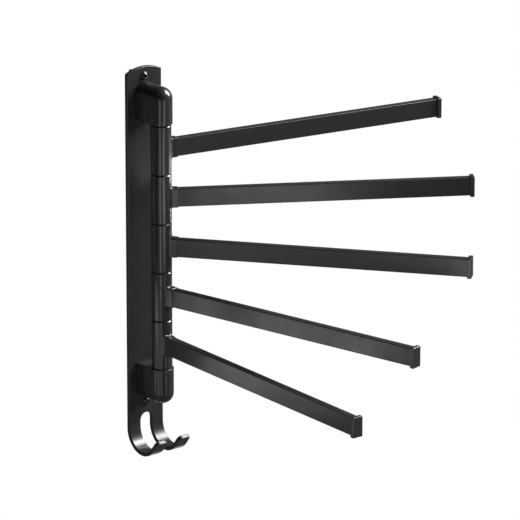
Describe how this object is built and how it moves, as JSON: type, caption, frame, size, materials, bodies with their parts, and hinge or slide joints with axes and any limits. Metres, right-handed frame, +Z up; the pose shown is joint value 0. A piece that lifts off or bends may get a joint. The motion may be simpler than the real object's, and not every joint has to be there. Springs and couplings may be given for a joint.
{
  "type": "swing arm towel bar",
  "caption": "Wall towel rack: flat arms stacked on an upright pivot between two domed brackets swing out like a fan or flat to the wall, above a two-pronged hook.",
  "frame": {"origin": "on the wall plane, which is the plate's back face, on the plate's centre line, midway between the two wall screws", "axes": "+Z up, +Y into the wall, so the arms reach towards -Y and +X is to the right of someone who faces the wall; the pivot axis is parallel to Z, 30 mm in front of the wall"},
  "size_m": [0.3251, 0.3602, 0.3931],
  "materials": {
    "coated_aluminium": "satin black powder coat",
    "shaft_steel": "ground",
    "screw_steel": "zinc plated",
    "black_screw": "satin black coat",
    "cap_plastic": "moulded, fine matte grain",
    "washer_plastic": "moulded"
  },
  "bodies": {
    "wall_mount": {"wall_plate": "coated_aluminium", "top_bracket": "coated_aluminium", "bottom_bracket": "coated_aluminium", "pivot_shaft": "shaft_steel", "top_bracket_screws": "screw_steel", "bottom_bracket_screws": "screw_steel", "wall_screw_top": "black_screw", "wall_screw_bottom": "black_screw", "washer_1": "washer_plastic", "washer_2": "washer_plastic", "washer_3": "washer_plastic", "washer_4": "washer_plastic", "washer_5": "washer_plastic", "washer_6": "washer_plastic"},
    "arm_1": {"swivel_hub_1": "coated_aluminium", "arm_tube_1": "coated_aluminium", "end_cap_1": "cap_plastic"},
    "arm_2": {"swivel_hub_2": "coated_aluminium", "arm_tube_2": "coated_aluminium", "end_cap_2": "cap_plastic"},
    "arm_3": {"swivel_hub_3": "coated_aluminium", "arm_tube_3": "coated_aluminium", "end_cap_3": "cap_plastic"},
    "arm_4": {"swivel_hub_4": "coated_aluminium", "arm_tube_4": "coated_aluminium", "end_cap_4": "cap_plastic"},
    "arm_5": {"swivel_hub_5": "coated_aluminium", "arm_tube_5": "coated_aluminium", "end_cap_5": "cap_plastic"}
  },
  "joints": [
    {"name": "arm_1_swing", "type": "hinge", "parent": "wall_mount", "child": "arm_1", "pos_m": [0, -0.03, 0.1], "axis": [0, 0, 1], "range_deg": [-168.4, 11.6]},
    {"name": "arm_2_swing", "type": "hinge", "parent": "wall_mount", "child": "arm_2", "pos_m": [0, -0.03, 0.05], "axis": [0, 0, 1], "range_deg": [-148.4, 31.6]},
    {"name": "arm_3_swing", "type": "hinge", "parent": "wall_mount", "child": "arm_3", "pos_m": [0, -0.03, 0], "axis": [0, 0, 1], "range_deg": [-128.8, 51.2]},
    {"name": "arm_4_swing", "type": "hinge", "parent": "wall_mount", "child": "arm_4", "pos_m": [0, -0.03, -0.05], "axis": [0, 0, 1], "range_deg": [-103.8, 76.2]},
    {"name": "arm_5_swing", "type": "hinge", "parent": "wall_mount", "child": "arm_5", "pos_m": [0, -0.03, -0.1], "axis": [0, 0, 1], "range_deg": [-88.8, 91.2]}
  ]
}
